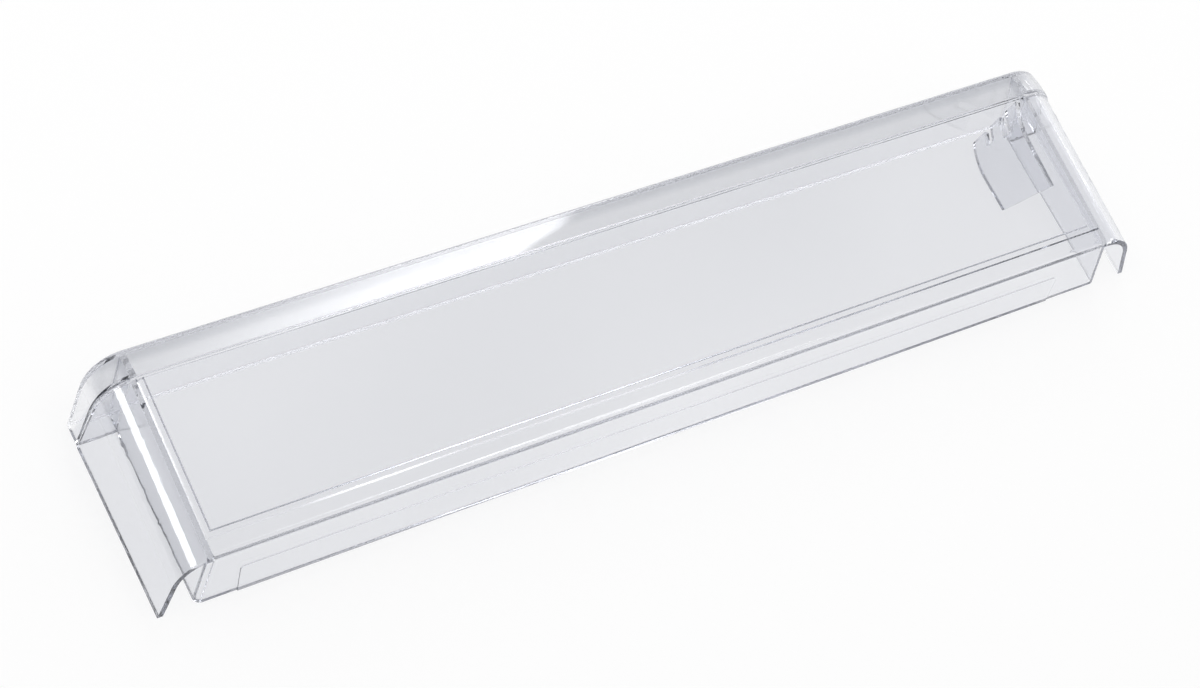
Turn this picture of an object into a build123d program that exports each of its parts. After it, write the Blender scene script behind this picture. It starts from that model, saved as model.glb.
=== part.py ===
"""Clear fridge door shelf bar, moulded in one piece.

The bar lies as it rests on a table: its open door side is down and its front panel is up.
X runs along the bar, Y from its lower edge in use to its upper rim, Z up through its depth.
Sizes are in millimetres.
"""
from build123d import *
import os
from math import cos, radians, sin, tan

os.makedirs("parts", exist_ok=True)

# Overall form
foot_length = 440.0        # over both end flanges, where they stand
foot_depth = 82.0          # from the skirt's foot to the back wall's foot
front_height = 26.4        # top sheet above the skirt's foot
top_climb = 3.4            # degrees that the top sheet rises towards the rim
front_lean = 11.2          # degrees that the skirt leans towards the rim
back_lean = 14.0           # degrees that the back wall leans outwards
wall = 2.2                 # moulded wall
crest_radius = 3.0         # edge between the skirt and the top sheet
inner_crest_radius = 0.8   # the same edge underneath
skirt_corner_radius = 3.0  # upright edges between the skirt and the inner end walls
inner_corner_radius = 0.8  # the same edges inside

# End flanges and the channels behind them
flange_lean = 14.5         # degrees that a flange leans inwards
shoulder_radius = 14.0     # from the top sheet down into a flange
channel_gap = 14.5         # from a flange's foot to the inner end wall's face in the channel
inner_wall_lean = 8.0      # degrees that an inner end wall leans inwards

# Rim band along the back, which closes the channels
rim_depth = 10.6           # from the foot of its front face to the back wall's foot
rim_front_lean = 9.5       # degrees that its front face leans outwards
rim_proud = 1.7            # height of its front edge above the top sheet
rim_crown_radius = 48.0    # its top is crowned from the front edge down to the back
rim_lean = 12.0            # degrees that its ends lean inwards
rim_shoulder_radius = 16.5
rim_edge_radius = 1.8      # edge between the rim and the back wall
rim_ridge_radius = 0.6     # edge along the front of the rim

# Field of the front panel, pressed a little outwards
field_margin_end = 19.5    # from a flange's foot to the field's line on top
field_margin_front = 12.2  # from the skirt's foot to the field's line on top
field_inset = 2.8          # from the line on top to the line underneath
field_ramp = 0.5           # width of the steep step
field_step = 0.9           # height of the step

# Raised pad on the lower half of the skirt
pad_height = 15.0
pad_proud = 0.4
pad_margin_left = 31.0     # from the left flange's foot
pad_margin_right = 41.0    # from the right flange's foot
pad_corner = 2.0

# Snap wall inside the right end, placed from the skirt's foot and the end wall's face in the channel
snap_reach = 22.0          # from that face to the middle of the snap wall, at the foot
snap_front = 43.0
snap_back = 75.5
snap_front_lean = 14.0     # degrees that its front edge leans towards the skirt
snap_bend_start = 58.0     # where its foot starts to curve back to the end
snap_bend = 4.5            # how far the foot has curved back at its rear edge
snap_rise = 8.0            # how far its head leans to the end
snap_wall = 2.0
upper_notch_height = 20.5  # middle of the upper notch in its rear edge
upper_notch_end = 66.0
lower_notch_height = 10.0  # middle of the lower notch
lower_notch_end = 69.0
notch_width = 4.0
notch_corner = 1.0

# Worked out from the sizes above
half_foot = foot_length / 2
climb_rate = tan(radians(top_climb))
climb = (0, cos(radians(top_climb)), sin(radians(top_climb)))
back_height = front_height + foot_depth * climb_rate
tall = 2 * back_height         # height that clears the whole bar
overrun = front_height / 2     # how far cutting shapes reach past what they cut
flange_face = wall / cos(radians(flange_lean))
inner_face = wall / cos(radians(inner_wall_lean))
skirt_face = wall / cos(radians(front_lean))
back_face = wall / cos(radians(back_lean))
rim_front_face = wall / cos(radians(rim_front_lean))
rim_end_face = wall / cos(radians(rim_lean))
channel_foot = half_foot - channel_gap
rim_front = foot_depth - rim_depth
rim_inside = rim_front + rim_front_face
rim_front_rate = tan(radians(rim_front_lean))
rim_ridge_height = (front_height + rim_proud + rim_front * climb_rate) / (1 - rim_front_rate * climb_rate)
rim_ridge_place = rim_front + rim_ridge_height * rim_front_rate
under_height = front_height - wall
crown_turn = 45                # degrees of the crown's arc, wider than the rim
panel_plane = Plane(origin=(0, 0, front_height), x_dir=(1, 0, 0), z_dir=(0, -climb[2], climb[1]))
skirt_normal = (0, -cos(radians(front_lean)), sin(radians(front_lean)))
skirt_plane = Plane(origin=(0, 0, 0), x_dir=(1, 0, 0), z_dir=skirt_normal)


def slab(front_foot, back_foot, lean_front, lean_back, floor=0.0):
    """Slab right across the bar between two leaning planes, each placed by where it stands on the table."""
    front_rate = tan(radians(lean_front))
    back_rate = tan(radians(lean_back))
    with BuildPart() as piece:
        with BuildSketch(Plane.YZ):
            Polygon(
                (front_foot + floor * front_rate, floor),
                (back_foot + floor * back_rate, floor),
                (back_foot + tall * back_rate, tall),
                (front_foot + tall * front_rate, tall),
                align=None,
            )
        extrude(amount=foot_length, both=True)
    return piece.part


def arch(half_width, height, lean, radius=0.0):
    """Long prism that climbs with the top sheet: leaning sides under a flat top, with round shoulders."""
    rate = tan(radians(lean))
    start = Plane(origin=(0, -overrun, -overrun * climb_rate), x_dir=(1, 0, 0), z_dir=(0, -1, 0))
    with BuildPart() as piece:
        with BuildSketch(start) as outline:
            Polygon(
                (-half_width - overrun * rate, -overrun),
                (half_width + overrun * rate, -overrun),
                (half_width - height * rate, height),
                (-half_width + height * rate, height),
                align=None,
            )
            if radius > 0:
                fillet(outline.vertices().group_by(Axis.Y)[-1], radius)
        extrude(amount=foot_depth + tall, dir=climb)
    return piece.part


def cover(height, front_foot, back_foot, radius, floor=0.0):
    """Slab under the climbing top sheet, from the skirt to the rim's front face, with a round crest."""
    front_rate = tan(radians(front_lean))
    front_top = (height + front_foot * climb_rate) / (1 - front_rate * climb_rate)
    back_top = (height + back_foot * climb_rate) / (1 - rim_front_rate * climb_rate)
    with BuildPart() as piece:
        with BuildSketch(Plane.YZ) as side_view:
            Polygon(
                (front_foot + floor * front_rate, floor),
                (back_foot + floor * rim_front_rate, floor),
                (back_foot + back_top * rim_front_rate, back_top),
                (front_foot + front_top * front_rate, front_top),
                align=None,
            )
            fillet(side_view.vertices().sort_by(Axis.Y)[-2], radius)
        extrude(amount=foot_length, both=True)
    return piece.part


def box(half_width, front_foot, radius):
    """Tall block between the inner end walls, from the skirt backwards, with round front corners."""
    with BuildPart() as piece:
        add(arch(half_width, tall, inner_wall_lean))
        add(slab(front_foot, 2 * foot_depth, front_lean, 0, -wall), mode=Mode.INTERSECT)
        front_side = piece.faces().sort_by(Axis.Y)[0]
        fillet(front_side.edges().filter_by(Axis.X, reverse=True), radius)
    return piece.part


def crown(half_width, depth, lean, radius=0.0):
    """Arch turned about a line below the rim, so that its top falls away behind the rim's front edge."""
    rate = tan(radians(lean))
    height = rim_ridge_height - depth
    foot = half_width + rim_ridge_place * climb_rate * rate
    pivot = Axis((0, rim_ridge_place, rim_ridge_height - rim_crown_radius), (-1, 0, 0))
    with BuildPart() as piece:
        with BuildSketch(Plane(origin=(0, rim_ridge_place, 0), x_dir=(1, 0, 0), z_dir=(0, -1, 0))) as outline:
            Polygon(
                (-foot - wall * rate, -wall),
                (foot + wall * rate, -wall),
                (foot - height * rate, height),
                (-foot + height * rate, height),
                align=None,
            )
            if radius > 0:
                fillet(outline.vertices().group_by(Axis.Y)[-1], radius)
        revolve(axis=pivot, revolution_arc=2 * crown_turn)
    return piece.part.rotate(pivot, -crown_turn)


def field(height, inset):
    """Field with steep sides that rises by the step from a given height of the top sheet, up to the rim."""
    with BuildPart() as piece:
        for side in (1, -1):
            half_width = half_foot - field_margin_end - inset - side * field_ramp
            near_edge = field_margin_front + inset + side * field_ramp
            with BuildSketch(panel_plane.offset(height - front_height + side * field_step)):
                Polygon(
                    (-half_width, near_edge),
                    (half_width, near_edge),
                    (half_width, foot_depth + tall),
                    (-half_width, foot_depth + tall),
                    align=None,
                )
        loft()
        back_end = rim_front + rim_front_face / 2
        add(slab(-overrun, back_end, front_lean, rim_front_lean, -overrun), mode=Mode.INTERSECT)
    return piece.part


# Space under the front panel, between the inner end walls
with BuildPart() as hollow:
    add(box(channel_foot - inner_face, skirt_face, inner_corner_radius))
    add(cover(under_height, skirt_face, rim_inside, inner_crest_radius, -overrun), mode=Mode.INTERSECT)
    add(field(under_height, field_inset))

# Space under the rim
with BuildPart() as rim_hollow:
    add(crown(channel_foot - inner_face, wall, inner_wall_lean))
    add(slab(rim_front, foot_depth - back_face, rim_front_lean, back_lean, -overrun), mode=Mode.INTERSECT)

# Channels between each end flange and its inner end wall, open at the skirt and closed by a wall at the rim
core = box(channel_foot, 0, skirt_corner_radius)
with BuildPart() as channels:
    add(arch(half_foot - flange_face, under_height, flange_lean, shoulder_radius - wall))
    add(core, mode=Mode.SUBTRACT)
    add(slab(-foot_depth, rim_front, front_lean, rim_front_lean, -overrun), mode=Mode.INTERSECT)

# Corner recesses behind those walls
with BuildPart() as corners:
    add(crown(half_foot - rim_end_face, wall, rim_lean, rim_shoulder_radius - wall))
    add(core, mode=Mode.SUBTRACT)
    add(slab(rim_inside, foot_depth - back_face, rim_front_lean, back_lean, -overrun), mode=Mode.INTERSECT)

# Rim band, a little proud of the top sheet, crowned towards its back edge
with BuildPart() as rim:
    add(crown(half_foot, 0, rim_lean, rim_shoulder_radius))
    add(slab(rim_front, foot_depth, rim_front_lean, back_lean), mode=Mode.INTERSECT)
    back_side = rim.faces().filter_by(Plane.XZ.rotated((-back_lean, 0, 0))).sort_by(Axis.Y)[-1]
    fillet(back_side.edges().filter_by(lambda edge: edge.center().Z > wall), rim_edge_radius)
    front_side = rim.faces().filter_by(Plane.XZ.rotated((-rim_front_lean, 0, 0))).sort_by(Axis.Y)[0]
    fillet(front_side.edges().filter_by(lambda edge: edge.center().Z > wall), rim_ridge_radius)

# Raised pad on the outside of the skirt
pad_top = pad_height / cos(radians(front_lean))
with BuildPart() as pad:
    with BuildSketch(skirt_plane.offset(-wall / 2)) as pad_outline:
        Polygon(
            (-half_foot + pad_margin_left, -pad_top),
            (half_foot - pad_margin_right, -pad_top),
            (half_foot - pad_margin_right, pad_top),
            (-half_foot + pad_margin_left, pad_top),
            align=None,
        )
        fillet(pad_outline.vertices().group_by(Axis.Y)[-1], pad_corner)
    extrude(amount=wall / 2 + pad_proud)
    add(slab(-overrun, foot_depth, 0, 0), mode=Mode.INTERSECT)

# Snap wall: a curved wall that leans up to the end wall, with a leaning front edge and a notched rear edge
snap_foot = channel_foot - snap_reach
with BuildPart() as snap:
    with BuildSketch():
        with BuildLine():
            front_run = Line((snap_foot, 0), (snap_foot, snap_bend_start))
            TangentArc(front_run @ 1, (snap_foot + snap_bend, snap_back), tangent=front_run % 1)
        trace(line_width=snap_wall)
    extrude(amount=tall, dir=(snap_rise, 0, back_height))
    add(slab(snap_front, foot_depth, -snap_front_lean, 0), mode=Mode.INTERSECT)
    add(arch(channel_foot, front_height - wall / 2, inner_wall_lean), mode=Mode.INTERSECT)
    for height, end in ((upper_notch_height, upper_notch_end), (lower_notch_height, lower_notch_end)):
        with BuildSketch(Plane.YZ):
            with Locations((end, height)):
                RectangleRounded(foot_depth, notch_width, notch_corner, align=(Align.MIN, Align.CENTER))
        extrude(amount=half_foot, mode=Mode.SUBTRACT)

# The bar: a block under the top sheet, hollowed from the door side
with BuildPart() as bar:
    add(arch(half_foot, front_height, flange_lean, shoulder_radius))
    add(cover(front_height, 0, rim_front, crest_radius), mode=Mode.INTERSECT)
    add(field(front_height, 0))
    add(rim.part)
    add(hollow.part, mode=Mode.SUBTRACT)
    add(rim_hollow.part, mode=Mode.SUBTRACT)
    add(snap.part)
    add(channels.part, mode=Mode.SUBTRACT)
    add(corners.part, mode=Mode.SUBTRACT)
    add(pad.part)

# The origin lies on the table under the middle of the bar
shelf_bar = bar.part.moved(Location((0, -bar.part.bounding_box().center().Y, 0)))
shelf_bar.label = "shelf_bar"
export_step(shelf_bar, "parts/shelf_bar.step")
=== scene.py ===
from math import cos, radians, sin

import bmesh
import bpy
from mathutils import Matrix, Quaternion, Vector


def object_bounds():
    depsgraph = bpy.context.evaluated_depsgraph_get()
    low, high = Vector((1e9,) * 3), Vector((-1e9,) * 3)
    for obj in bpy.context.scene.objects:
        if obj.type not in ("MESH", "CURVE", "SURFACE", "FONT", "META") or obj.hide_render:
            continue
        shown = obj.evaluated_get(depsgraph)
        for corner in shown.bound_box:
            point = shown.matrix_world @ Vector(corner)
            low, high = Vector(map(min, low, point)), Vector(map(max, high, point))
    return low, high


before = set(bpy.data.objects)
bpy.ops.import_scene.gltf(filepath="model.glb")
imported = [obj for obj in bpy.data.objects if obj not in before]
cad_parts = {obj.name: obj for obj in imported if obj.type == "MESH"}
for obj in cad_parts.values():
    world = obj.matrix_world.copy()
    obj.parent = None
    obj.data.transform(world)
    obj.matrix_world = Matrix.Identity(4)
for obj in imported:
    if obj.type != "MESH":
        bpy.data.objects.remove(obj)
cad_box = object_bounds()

# Light runs far along inside clear walls before it leaves them, so it may bounce often
scene = bpy.context.scene
scene.view_settings.view_transform = "Standard"
scene.cycles.max_bounces = 96
scene.cycles.glossy_bounces = 96
scene.cycles.transmission_bounces = 96
scene.cycles.transparent_max_bounces = 48
scene.cycles.sample_clamp_indirect = 3.0


# The shelf bar: one shell of clear polystyrene, moulded in one shot in a polished tool.
# The melt ran along the bar, so its faces are faintly drawn that way, and handling has
# left a light haze. It lies loose on the table.
shelf_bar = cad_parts["shelf_bar"]
back_edge = cad_box[1][1]
rim_top = cad_box[1][2]
clear_plastic = bpy.data.materials.new("clear_polystyrene")
clear_plastic.use_nodes = True
tree = clear_plastic.node_tree
nodes = tree.nodes
links = tree.links
plastic = nodes["Principled BSDF"]
plastic.inputs["IOR"].default_value = 1.57
plastic.inputs["Transmission Weight"].default_value = 1.0
place = nodes.new("ShaderNodeTexCoord")
spot = nodes.new("ShaderNodeSeparateXYZ")
links.new(place.outputs["Object"], spot.inputs["Vector"])


def graded(tree, value, start, stop, low=0.0, high=1.0, blend="LINEAR"):
    """Go from low to high while the value goes from start to stop."""
    grade = tree.nodes.new("ShaderNodeMapRange")
    grade.interpolation_type = blend
    grade.inputs["From Min"].default_value = start
    grade.inputs["From Max"].default_value = stop
    grade.inputs["To Min"].default_value = low
    grade.inputs["To Max"].default_value = high
    tree.links.new(value, grade.inputs["Value"])
    return grade.outputs["Result"]


def joined(tree, operation, first, second):
    """Work one value out of two."""
    join = tree.nodes.new("ShaderNodeMath")
    join.operation = operation
    tree.links.new(first, join.inputs[0])
    tree.links.new(second, join.inputs[1])
    return join.outputs["Value"]


# Flow of the melt: long shallow waves that bend the edges of reflections
along = nodes.new("ShaderNodeMapping")
along.inputs["Scale"].default_value = (5.0, 90.0, 90.0)
links.new(place.outputs["Object"], along.inputs["Vector"])
flow = nodes.new("ShaderNodeTexNoise")
flow.inputs["Scale"].default_value = 1.0
flow.inputs["Detail"].default_value = 3.0
flow.inputs["Roughness"].default_value = 0.45
links.new(along.outputs["Vector"], flow.inputs["Vector"])
waves = nodes.new("ShaderNodeBump")
waves.inputs["Strength"].default_value = 0.25
waves.inputs["Distance"].default_value = 0.0002
links.new(flow.outputs["Fac"], waves.inputs["Height"])
links.new(waves.outputs["Normal"], plastic.inputs["Normal"])

# Haze of handling: cloudy patches a little less polished than the rest
haze = nodes.new("ShaderNodeTexNoise")
haze.inputs["Scale"].default_value = 28.0
haze.inputs["Detail"].default_value = 5.0
links.new(place.outputs["Object"], haze.inputs["Vector"])
polish = graded(tree, haze.outputs["Fac"], 0.4, 0.75, low=0.02, high=0.07)

# Foot of the back wall: matt, so it shows through the panel as a pale line
at_foot = graded(tree, spot.outputs["Z"], 0.0006, 0.0002)
on_back_wall = graded(tree, spot.outputs["Y"], back_edge - 0.0114, back_edge - 0.0104, high=0.6)
matt_foot = joined(tree, "MULTIPLY", at_foot, on_back_wall)
links.new(joined(tree, "MAXIMUM", polish, matt_foot), plastic.inputs["Roughness"])

# Tint: a cool grey, partly the plastic's own and partly painted shade for the shaded table under
# the bar. It drifts in soft clouds of painted shade, which stand in for the soft shading seen
# through the panel
painted_shade_clouds = nodes.new("ShaderNodeTexNoise")
painted_shade_clouds.inputs["Scale"].default_value = 7.0
painted_shade_clouds.inputs["Detail"].default_value = 1.0
links.new(place.outputs["Object"], painted_shade_clouds.inputs["Vector"])
tint_and_painted_shade = nodes.new("ShaderNodeMix")
tint_and_painted_shade.data_type = "RGBA"
tint_and_painted_shade.inputs["A"].default_value = (0.825, 0.833, 0.86, 1)
tint_and_painted_shade.inputs["B"].default_value = (0.88, 0.887, 0.912, 1)
links.new(graded(tree, painted_shade_clouds.outputs["Fac"], 0.35, 0.65), tint_and_painted_shade.inputs["Factor"])

# Back of the bar: the rim is painted a shade deeper than the panel, a painted shade for the dim
# ceiling it reflects, and the wall under it is painted clearer, a painted light that lifts it
# through the panel
back_painted_light_and_shade = nodes.new("ShaderNodeMix")
back_painted_light_and_shade.data_type = "RGBA"
back_painted_light_and_shade.inputs["A"].default_value = (0.975, 0.977, 0.985, 1)
back_painted_light_and_shade.inputs["B"].default_value = (0.765, 0.773, 0.798, 1)
up_to_rim = graded(tree, spot.outputs["Z"], rim_top - 0.0107, rim_top - 0.0067)
links.new(up_to_rim, back_painted_light_and_shade.inputs["Factor"])
# The painted shade and light of the back are laid over the tint, into the base colour
base_with_painted_back = nodes.new("ShaderNodeMix")
base_with_painted_back.data_type = "RGBA"
links.new(tint_and_painted_shade.outputs["Result"], base_with_painted_back.inputs["A"])
links.new(back_painted_light_and_shade.outputs["Result"], base_with_painted_back.inputs["B"])
at_back = graded(tree, spot.outputs["Y"], back_edge - 0.0129, back_edge - 0.0119)
links.new(at_back, base_with_painted_back.inputs["Factor"])
links.new(base_with_painted_back.outputs["Result"], plastic.inputs["Base Color"])

# Depth: light that runs long inside a wall comes out darker, which draws the grey edges
depth = nodes.new("ShaderNodeVolumeAbsorption")
depth.inputs["Color"].default_value = (0.65, 0.66, 0.70, 1)
depth.inputs["Density"].default_value = 28.0
links.new(depth.outputs["Volume"], nodes["Material Output"].inputs["Volume"])

# Lamp light and light from the table pass straight through, a little dimmed
dimmed = nodes.new("ShaderNodeBsdfTransparent")
dimmed.inputs["Color"].default_value = (0.89, 0.894, 0.907, 1)
path = nodes.new("ShaderNodeLightPath")
passing = joined(tree, "MAXIMUM", path.outputs["Is Shadow Ray"], path.outputs["Is Diffuse Ray"])
wall = nodes.new("ShaderNodeMixShader")
links.new(passing, wall.inputs[0])
links.new(plastic.outputs["BSDF"], wall.inputs[1])
links.new(dimmed.outputs["BSDF"], wall.inputs[2])
links.new(wall.outputs["Shader"], nodes["Material Output"].inputs["Surface"])
shelf_bar.data.materials.clear()
shelf_bar.data.materials.append(clear_plastic)


# The table: a wide sheet of matt white paper, laid a hair below the foot of the bar.
# It reads as white through the plastic too, and keeps the bar's soft shadow.
sheet = bmesh.new()
bmesh.ops.create_grid(sheet, x_segments=1, y_segments=1, size=4.0)
bmesh.ops.translate(sheet, verts=sheet.verts, vec=(0.0, 0.0, -0.0002))
sheet_mesh = bpy.data.meshes.new("paper")
sheet.to_mesh(sheet_mesh)
sheet.free()
paper = bpy.data.objects.new("paper", sheet_mesh)
scene.collection.objects.link(paper)
white_paper = bpy.data.materials.new("white_paper")
white_paper.use_nodes = True
tree = white_paper.node_tree
nodes = tree.nodes
links = tree.links
matt = nodes["Principled BSDF"]
matt.inputs["Base Color"].default_value = (0.97, 0.97, 0.97, 1)
matt.inputs["Roughness"].default_value = 0.9
matt.inputs["Specular IOR Level"].default_value = 0.1
white = nodes.new("ShaderNodeEmission")
white.inputs["Strength"].default_value = 1.0
path = nodes.new("ShaderNodeLightPath")
mirrored = joined(tree, "MAXIMUM", path.outputs["Is Camera Ray"], path.outputs["Is Glossy Ray"])
seen = joined(tree, "MAXIMUM", mirrored, path.outputs["Is Transmission Ray"])
lit = nodes.new("ShaderNodeMixShader")
links.new(graded(tree, seen, 0.0, 1.0, high=0.75), lit.inputs[0])
links.new(matt.outputs["BSDF"], lit.inputs[1])
links.new(white.outputs["Emission"], lit.inputs[2])
links.new(lit.outputs["Shader"], nodes["Material Output"].inputs["Surface"])
sheet_mesh.materials.append(white_paper)


# The studio: a room with pale walls, a dimmer ceiling and a dark side behind the camera,
# which gives the plastic's edges their grey.
room = bpy.data.worlds.new("pale_room")
room.use_nodes = True
tree = room.node_tree
nodes = tree.nodes
links = tree.links
facing = nodes.new("ShaderNodeTexCoord")
height = nodes.new("ShaderNodeSeparateXYZ")
links.new(facing.outputs["Generated"], height.inputs["Vector"])
walls = graded(tree, height.outputs["Z"], 0.05, 0.75, low=1.42, high=0.6, blend="SMOOTHSTEP")
turned = nodes.new("ShaderNodeVectorMath")
turned.operation = "DOT_PRODUCT"
turned.inputs[1].default_value = (-0.8, -0.6, 0.0)
links.new(facing.outputs["Generated"], turned.inputs[0])
dark_side = graded(tree, turned.outputs["Value"], 0.0, 0.7, low=1.0, high=0.05, blend="SMOOTHSTEP")
nodes["Background"].inputs["Color"].default_value = (1.0, 1.0, 1.0, 1)
links.new(joined(tree, "MULTIPLY", walls, dark_side), nodes["Background"].inputs["Strength"])
scene.world = room

# Softboxes, each with a cloth that fades to its right and left edges: the left one draws the
# white band on the left shoulder, the rim one the white half of the rim, the back and front
# ones thin white lines on the field and the rim's ridge, and the strip the field's left line.
for name, stand, aim, size, power, fade in (
    ("left_softbox", (-0.85, 0.27, 1.2), (-0.2, 0.0, 0.0), (0.5, 0.5), 6.0, (0.12, 0.12)),
    ("rim_softbox", (0.35, 0.71, 1.08), (0.22, -0.04, 0.03), (0.42, 0.7), 5.0, (0.06, 0.9)),
    ("back_softbox", (0.68, 1.5, 0.85), (0.68, 0.0, 0.0), (0.5, 0.4), 4.0, (0.2, 0.2)),
    ("front_softbox", (0.60, -0.22, 1.25), (0.1, -0.05, 0.0), (0.9, 0.3), 3.5, (0.2, 0.2)),
    ("side_strip", (1.34, 0.46, 0.59), (-0.2, 0.0, 0.03), (0.5, 0.06), 0.5, (0.1, 0.1)),
):
    lamp = bpy.data.lights.new(name, "AREA")
    lamp.shape = "RECTANGLE"
    lamp.size, lamp.size_y = size
    lamp.energy = power
    lamp.use_nodes = True
    tree = lamp.node_tree
    cloth = tree.nodes.new("ShaderNodeNewGeometry")
    across = tree.nodes.new("ShaderNodeSeparateXYZ")
    tree.links.new(cloth.outputs["Parametric"], across.inputs["Vector"])
    right = graded(tree, across.outputs["X"], 0.0, fade[0], blend="SMOOTHSTEP")
    left = graded(tree, across.outputs["X"], 1.0, 1.0 - fade[1], blend="SMOOTHSTEP")
    glow = joined(tree, "MULTIPLY", right, left)
    tree.links.new(glow, tree.nodes["Emission"].inputs["Strength"])
    softbox = bpy.data.objects.new(name, lamp)
    softbox.location = stand
    softbox.rotation_mode = "QUATERNION"
    softbox.rotation_quaternion = (Vector(aim) - Vector(stand)).to_track_quat("-Z", "Y")
    scene.collection.objects.link(softbox)


# The camera: over the bar's left front, turned so that the bar runs up to the right.
azimuth, elevation, roll = radians(-54.661), radians(57.797), radians(31.361)
target = Vector((-0.01395, -0.00013, 0.0))
distance = 1.1029
back = Vector((sin(azimuth) * cos(elevation), -cos(azimuth) * cos(elevation), sin(elevation)))
view = bpy.data.cameras.new("camera")
view.lens = 85.04
camera = bpy.data.objects.new("camera", view)
camera.location = target + distance * back
camera.rotation_mode = "QUATERNION"
camera.rotation_quaternion = (-back).to_track_quat("-Z", "Y") @ Quaternion((0, 0, 1), roll)
scene.collection.objects.link(camera)
scene.camera = camera
